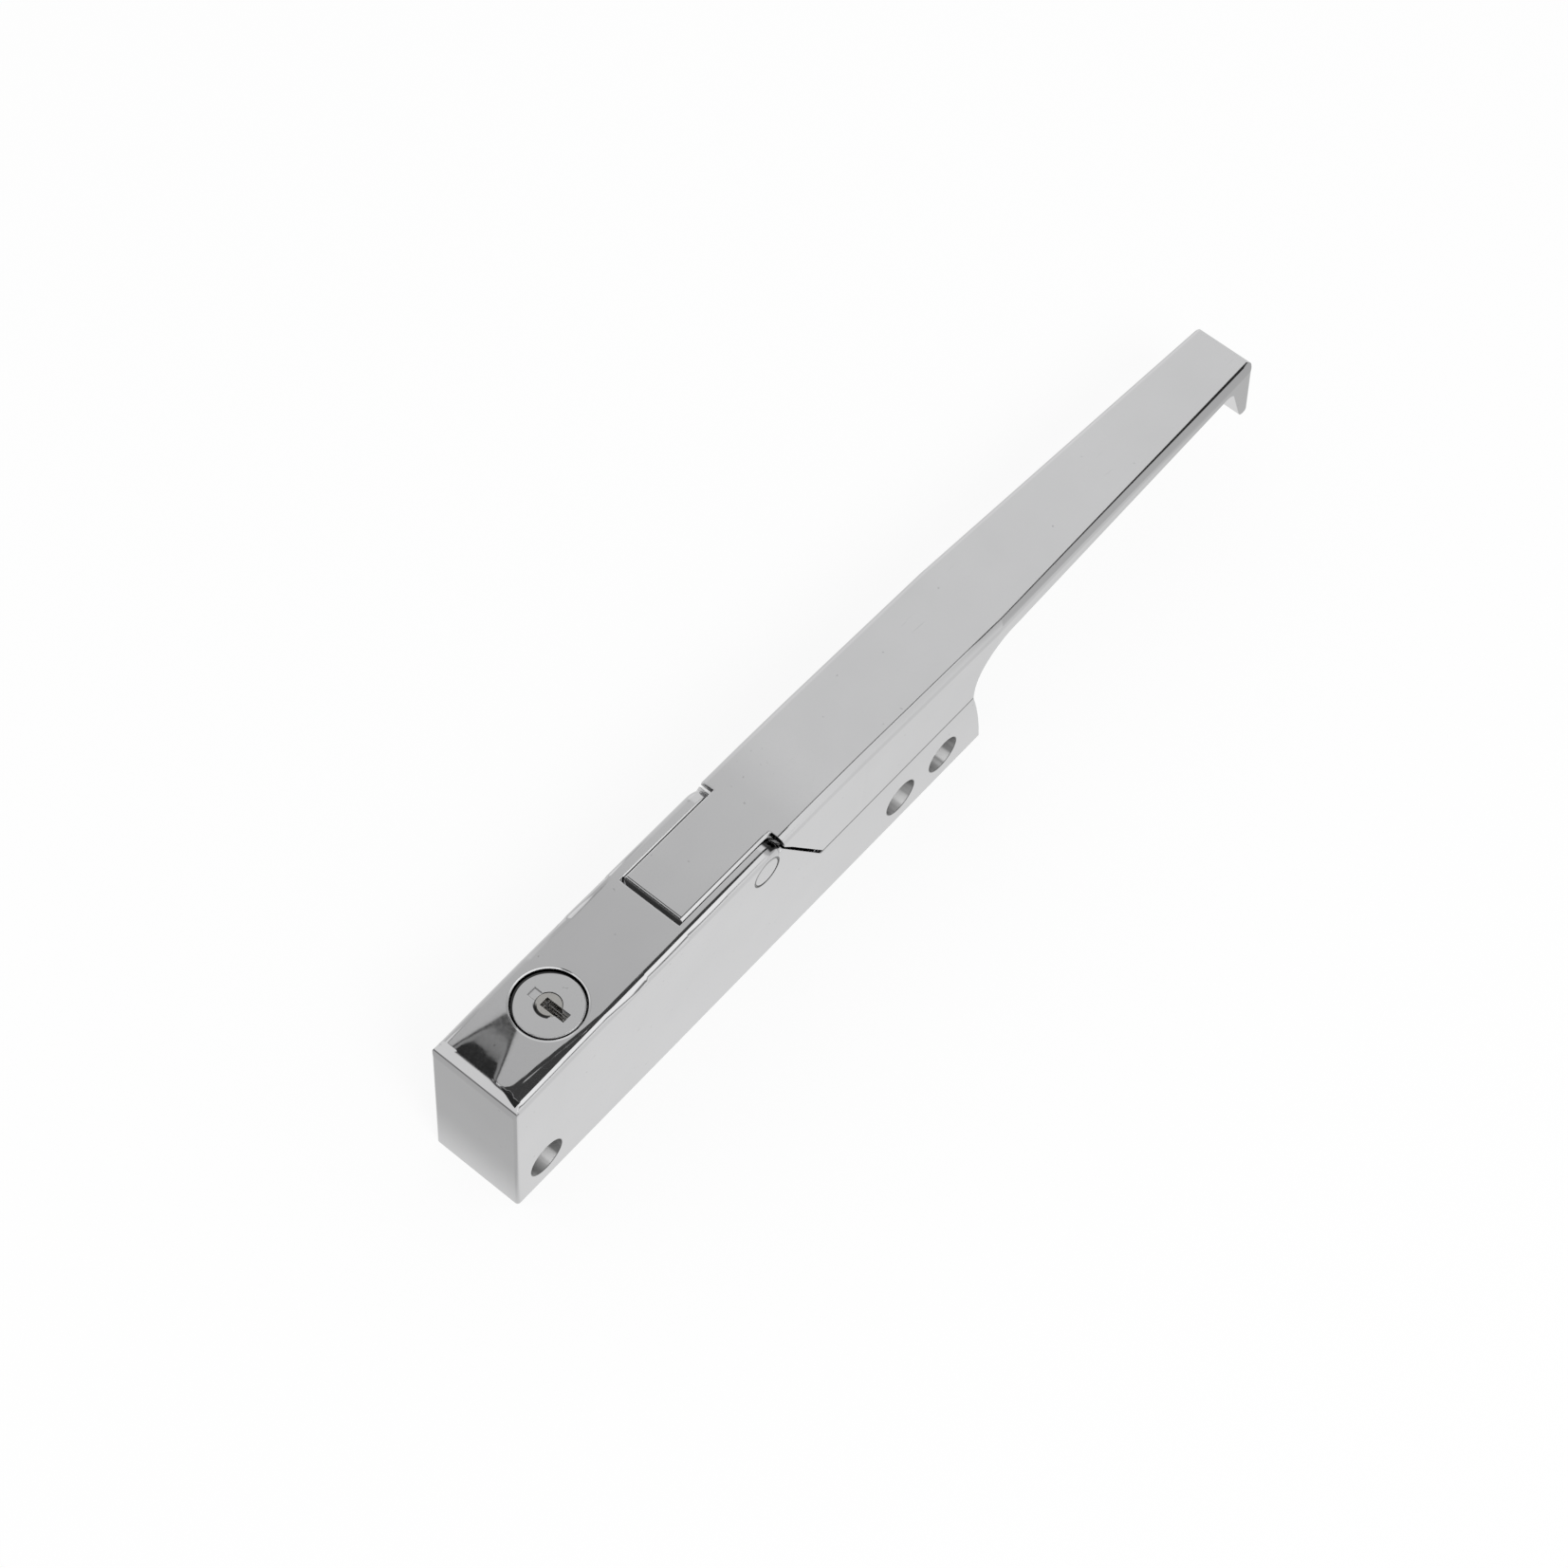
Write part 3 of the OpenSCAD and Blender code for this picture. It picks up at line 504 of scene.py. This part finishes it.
def fall_smoothing(s, mm):
    """Handle: what turns the three flats of its falling top into one long arc, in mm."""
    x = mm[0]
    first = ARC_X + ARC_R * sin(FALL / 4)
    second = ARC_X + ARC_R * sin(FALL * 3 / 4)
    end = ARC_X + ARC_R * sin(FALL)
    past_first, past_second, past_start, past_end = [
        s.most(s.minus(x, place), 0.0) for place in (first, second, ARC_X, end)]
    flats = s.sum(s.product(tan(FALL / 2), past_first), s.product(tan(FALL) - tan(FALL / 2), past_second))
    run = s.math("MINIMUM", past_start, end - ARC_X)
    arc = s.sum(s.product(run, run, 1 / (2 * ARC_R)), s.product(tan(FALL), past_end))
    return s.minus(flats, arc)


# Lock: polish and painted shade lines
def lock_polish(s, mm, normal):
    """Lock: the walls of the keyhole's arm catch a little light."""
    x, y, _ = mm
    walls = s.product(s.span(s.parts(normal)[2], 0.5, 0.3), s.span(y, -2.7, -2.9),
                      s.span(s.absolute(s.minus(x, LOCK_X)), 2.0, 1.9))
    return s.unit(s.between(walls, normal, s.moving_lean(-0.11, 0.0)))


def lock_painted_shade(s, mm):
    """Lock: painted shade, as a dark crescent in its recess, a dark arc in the keyhole's ring and the
    notch's outline.
    """
    x, y, _ = mm
    away = s.distance(x, y, LOCK_X, 0.0)
    dx = s.minus(x, LOCK_X)
    facing = s.over(s.sum(s.product(0.2, dx), s.product(0.98, y)), away)
    width = s.sum(0.1, s.product(0.5, s.span(facing, 0.0, 0.9)))
    crescent = s.span(s.minus(away, s.minus(LOCK_R, width)), -0.06, 0.06)
    lower = s.over(s.sum(s.product(-0.93, dx), s.product(-0.36, y)), away)
    arc = s.product(s.band(away, 2.55, 3.4, 0.08), s.span(lower, 0.1, 0.5), s.span(y, -2.2, -1.9))
    notch_half, notch_y = 1.3, 5.1
    half = s.absolute(dx)
    sides = s.product(s.band(half, notch_half - 0.25, notch_half, 0.05), s.band(y, 3.0, notch_y, 0.08))
    back = s.product(s.band(y, notch_y - 0.3, notch_y, 0.05), s.span(half, notch_half, notch_half - 0.1))
    return s.most(s.product(0.93, s.most(crescent, arc)), s.product(0.45, s.most(sides, back)))


# Materials
# near-black of the painted shade lines in the chrome's gaps, recesses and notches
PAINTED_SHADE = grey(0.012)


def wear_marks(s, where, cloud):
    """Tiny specks all over, and fine scratches in some places."""
    specks = s.span(s.noise(s.stretch(where, (1, 1, 1.3)), 620, 1), 0.77, 0.80)
    scratch = s.noise(s.stretch(where, (90, 2600, 2600), (0.2, 0.1, 0.55)), 1.0, 1)
    scratches = s.product(s.span(scratch, 0.72, 0.78), s.span(cloud, 0.52, 0.62))
    return s.most(specks, s.product(0.4, scratches))


def chrome(name, colour, rough, form=None, polish=None, shade_lines=None, holes=False, edge=0.0004):
    """Polished chrome with softened edges, faint marks, a rippled polish and, where given, painted shade
    lines and painted light and shade in the door screw holes.
    """
    material, s, surface, where = solid_material(name, 1.0)
    mm = from_end(s, where)
    cloud = s.noise(where, 55, 3)
    dust = s.noise(where, 1100, 2, 0.6)
    marks = wear_marks(s, where, cloud)
    tone = s.ramp(cloud, [(0.3, shaded(colour, 0.975)), (0.7, shaded(colour, 1.015))])
    tone = s.mix(s.product(0.22, marks), tone, shaded(colour, 0.35))
    gloss = s.sum(s.span(s.product(cloud, dust), 0.1, 0.5, *rough), s.product(0.08, marks))
    round_edge = s.add("ShaderNodeBevel", samples=6)
    round_edge.inputs["Radius"].default_value = edge
    normal = round_edge.outputs[0]
    if polish:
        normal = polish(s, mm, normal)
    if form:
        normal = s.bump(form(s, mm), 0.001, normal)
    wave = s.sum(s.product(0.9, s.noise(where, 38, 1)), s.product(0.012, dust))
    if holes:
        # drilled walls: streaked and duller, darker in tone partly from their finish and partly as painted
        # shade, with a painted glint and painted shade along them
        inside, glint, shade = in_holes(s, mm)
        streaks = s.noise(s.stretch(where, (380, 30, 380)), 1.0, 1)
        normal = s.unit(s.plus(normal, s.vector(0.0, s.product(-0.45, inside), 0.0)))
        tone = s.mix(inside, tone, s.ramp(streaks, [(0.38, 0.21), (0.6, 0.36)]))
        tone = s.mix(s.product(inside, glint), tone, grey(0.5))
        tone = s.mix(s.product(0.6, inside, shade), tone, grey(0.12))
        gloss = s.sum(s.product(gloss, s.rest(inside)), s.product(0.44, inside))
        wave = s.sum(wave, s.product(1.5, inside, streaks))
    # painted shade: dark lines where gaps, recesses and notches fall into shade
    if shade_lines:
        tone = s.mix(shade_lines(s, mm), tone, PAINTED_SHADE)
    s.link(s.bump(wave, 0.00002, normal), surface.inputs["Normal"])
    s.link(tone, surface.inputs["Base Color"])
    s.link(gloss, surface.inputs["Roughness"])
    return material


def metal(name, colour, rough, brushed=None):
    """A plain metal whose roughness, tone and surface vary as the real finish does."""
    material, s, surface, where = solid_material(name, 1.0)
    cloud = s.noise(where, 60, 4)
    dust = s.noise(where, 900, 2, 0.6)
    tone = s.ramp(cloud, [(0.3, shaded(colour, 0.92)), (0.7, shaded(colour, 1.04))])
    gloss = s.ramp(s.product(cloud, dust), [(0.1, rough[0]), (0.5, rough[1])])
    if brushed:
        lines = s.noise(s.stretch(where, brushed), 1.0, 2, 0.7)
        normal = s.bump(lines, 0.00002, strength=0.5)
    else:
        normal = s.bump(dust, 0.000002)
    s.link(tone, surface.inputs["Base Color"])
    s.link(gloss, surface.inputs["Roughness"])
    s.link(normal, surface.inputs["Normal"])
    return material


def rubber(name):
    """Matt black rubber with a fine grain."""
    material, s, surface, where = solid_material(name, 0.0)
    grain = s.noise(where, 1500, 3)
    s.link(s.ramp(grain, [(0.3, 0.02), (0.7, 0.045)]), surface.inputs["Base Color"])
    surface.inputs["Roughness"].default_value = 0.75
    s.link(s.bump(grain, 0.0001, strength=0.4), surface.inputs["Normal"])
    return material


BODY_CHROME = (0.56, 0.56, 0.565)
PIN_CHROME = (0.55, 0.55, 0.555)
LOCK_CHROME = (0.58, 0.58, 0.585)
PLUG_COLOUR = (0.48, 0.47, 0.45)
FINE_EDGE = 0.0002
ALONG_X = (15, 2500, 2500)
ALONG_Y = (1800, 20, 1800)
# the dark lines given to the chrome finishes below are painted shade
finishes = {
    "chrome_case": chrome("chrome_case", BODY_CHROME, (0.05, 0.10),
                          polish=case_polish, shade_lines=case_painted_shade, holes=True),
    "chrome_handle": chrome("chrome_handle", BODY_CHROME, (0.05, 0.09),
                            form=fall_smoothing, polish=handle_polish, shade_lines=handle_painted_shade),
    "chrome_pin": chrome("chrome_pin", PIN_CHROME, (0.09, 0.16), shade_lines=pin_painted_shade),
    "chrome_lock": chrome("chrome_lock", LOCK_CHROME, (0.07, 0.12),
                          polish=lock_polish, shade_lines=lock_painted_shade, edge=FINE_EDGE),
    "plug_brass": chrome("plug_brass", PLUG_COLOUR, (0.12, 0.25),
                         polish=lock_polish, shade_lines=lock_painted_shade, edge=FINE_EDGE),
    "bearing_brass": metal("bearing_brass", (0.55, 0.4, 0.2), (0.25, 0.4)),
    "cover_steel": metal("cover_steel", (0.5, 0.51, 0.53), (0.22, 0.34), brushed=ALONG_X),
    "inner_steel": metal("inner_steel", (0.42, 0.43, 0.45), (0.25, 0.4), brushed=ALONG_Y),
    "hook_steel": metal("hook_steel", (0.45, 0.46, 0.47), (0.18, 0.3), brushed=ALONG_Y),
    "spring_steel": metal("spring_steel", (0.36, 0.37, 0.39), (0.2, 0.35)),
    "screw_steel": metal("screw_steel", (0.48, 0.49, 0.51), (0.18, 0.3)),
    "buffer_rubber": rubber("buffer_rubber"),
}
for name, obj in nodes.items():
    obj.data.materials.clear()
    obj.data.materials.append(finishes[slots[name]])


# Springs
def shortening_spring(name):
    """A spring's own mesh as a piece attached to the case, with its part hidden."""
    coil = new_object(name + "_coil", nodes[name].data.copy())
    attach(coil, "case")
    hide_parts(name)
    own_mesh(coil)


shortening_spring("handle_spring")
shortening_spring("hook_spring")


# Studio: white for the eye, while the chrome sees a ceiling light, a front light and dark cards
CEILING_TONES = [(0.0, 0.70), (0.27, 0.72), (0.4, 0.79), (0.46, 0.87),
                 (0.52, 0.95), (0.67, 0.95), (0.78, 1.0)]
FRONT_TONES = [(0.0, 1.12), (0.3, 1.10), (0.42, 1.04), (0.5, 1.04), (0.56, 1.0),
               (0.61, 0.97), (0.65, 0.82), (0.7, 0.70), (1.0, 0.62)]
CARD_TONES = [(0.0, 0.03), (0.42, 0.035), (0.52, 0.29), (0.70, 0.36), (0.77, 0.10), (1.0, 0.08)]
TABLE_TONES = [(0.0, 0.98), (0.425, 0.92), (0.525, 0.93), (0.625, 0.90),
               (0.725, 0.86), (0.825, 0.83), (0.925, 0.71), (1.0, 0.66)]
FLOOR_HALF = 6.0
FLOOR_DROP = 0.0002


def ray_kinds(s):
    """1 for camera and transmission rays, and 1 for glossy rays."""
    path = s.add("ShaderNodeLightPath")
    plain = s.math("ADD", path.outputs["Is Camera Ray"], path.outputs["Is Transmission Ray"], clamp=True)
    return plain, path.outputs["Is Glossy Ray"]


def shown_strength(s, plain, glossy, mirrored, other):
    """Brightness: 1 for the eye, mirrored for glossy rays, and other for the rays that light things."""
    others = s.rest(s.math("ADD", plain, glossy, clamp=True))
    return s.sum(plain, s.product(glossy, mirrored), s.product(others, other))


def mirrored_sky(s, x, y, z):
    """What the chrome sees in the direction (x, y, z)."""
    near_side = s.span(x, 0.42, 0.39)
    above = s.span(y, 0.222, 0.252)
    before = s.span(y, 0.062, 0.035)
    ceiling = s.product(s.ramp(s.span(x, 0.2, 0.7, smooth=False), CEILING_TONES),
                        s.span(y, 0.55, 0.8, 1.0, 1.12), s.span(x, 0.28, 0.22, 1.0, 0.9),
                        s.span(x, -0.05, -0.2, 1.0, 1.6))
    front = s.product(s.ramp(s.span(x, 0.3, 0.7, smooth=False), FRONT_TONES),
                      s.sum(1.0, s.product(0.24, near_side, s.span(z, 0.48, 0.60))))
    lit = s.sum(s.product(above, ceiling), s.product(s.rest(above), front))
    # dark gap between the two lights, and low dark strips where the table ends
    gap = s.product(s.span(x, -0.5, -0.4), s.span(x, 0.80, 0.72), s.rest(s.sum(above, before)))
    horizon = s.sum(s.product(s.band(z, 0.33, 0.50, 0.03), s.span(y, -0.4, -0.6), near_side, 1.5),
                    s.product(s.band(z, -0.02, 0.13, 0.03), s.span(x, -0.3, -0.5)))
    sky = s.product(lit, s.rest(s.product(0.95, gap)), s.rest(s.product(0.5, horizon)))
    # card towards the near end: dark rim, grey, then black
    card = s.product(s.span(x, 0.232, 0.212), s.span(x, -0.05, 0.0),
                     s.span(y, 0.16, 0.2), s.span(y, 0.52, 0.46))
    card_tone = s.ramp(s.span(x, 0.0, 0.25, smooth=False), CARD_TONES)
    return s.sum(s.product(sky, s.rest(card)), s.product(card, card_tone))


def studio_world():
    """White for the eye, and lights and dark cards for the chrome."""
    world = bpy.data.worlds.new("studio")
    world.use_nodes = True
    bpy.context.scene.world = world
    s = Shader(world.node_tree)
    output = s.add("ShaderNodeOutputWorld")
    x, y, z = s.parts(s.add("ShaderNodeTexCoord").outputs["Generated"])
    plain, glossy = ray_kinds(s)
    light = s.add("ShaderNodeBackground")
    light.inputs["Color"].default_value = (1, 1, 1, 1)
    strength = shown_strength(s, plain, glossy, mirrored_sky(s, x, y, z), other=0.85)
    s.link(strength, light.inputs["Strength"])
    s.link(light.outputs[0], output.inputs[0])


def mirrored_table(s, x, y):
    """What the chrome sees of the table: dim towards both ends, bright under and behind the grip."""
    before = s.most(s.minus(s.product(-1.0, y), 0.03), 0.0)
    place = s.span(s.minus(x, s.product(0.6, before)), -0.05, 0.15, smooth=False)
    along = s.ramp(place, TABLE_TONES)
    behind = s.product(s.span(y, -0.0105, -0.0075), s.span(x, 0.0, 0.04))
    return s.product(s.span(x, -0.142, -0.132, 0.65, 1.0),
                     s.sum(along, s.product(behind, s.minus(0.94, along))))


def studio_floor():
    """White table that keeps the object's shadow."""
    h = FLOOR_HALF
    mesh = bpy.data.meshes.new("floor")
    mesh.from_pydata([(-h, -h, 0), (h, -h, 0), (h, h, 0), (-h, h, 0)], [], [(0, 1, 2, 3)])
    floor = new_object("floor", mesh)
    floor.location.z = -FLOOR_DROP
    material, s, output = new_material("floor")
    plain, glossy = ray_kinds(s)
    x, y, _ = s.parts(s.add("ShaderNodeTexCoord").outputs["Object"])
    cloth = s.add("ShaderNodeBsdfDiffuse")
    cloth.inputs["Color"].default_value = (0.9, 0.9, 0.9, 1)
    white = s.add("ShaderNodeEmission")
    strength = shown_strength(s, plain, glossy, mirrored_table(s, x, y), other=0.0)
    s.link(strength, white.inputs["Strength"])
    mix = s.add("ShaderNodeMixShader")
    s.link(s.sum(s.product(plain, 0.85), glossy), mix.inputs[0])
    s.link(cloth.outputs[0], mix.inputs[1])
    s.link(white.outputs[0], mix.inputs[2])
    s.link(mix.outputs[0], output.inputs[0])
    mesh.materials.append(material)


def key_light(place, size, watts):
    """A round lamp that points at the object's middle and isn't mirrored in it."""
    data = bpy.data.lights.new("key", "AREA")
    data.shape = "DISK"
    data.size = size
    data.energy = watts
    lamp = new_object("key", data)
    lamp.location = place
    lamp.rotation_euler = (-Vector(place)).to_track_quat("-Z", "Y").to_euler()
    lamp.visible_glossy = False


studio_world()
studio_floor()
key_light((-0.6, -1.2, 1.6), 0.8, 12)
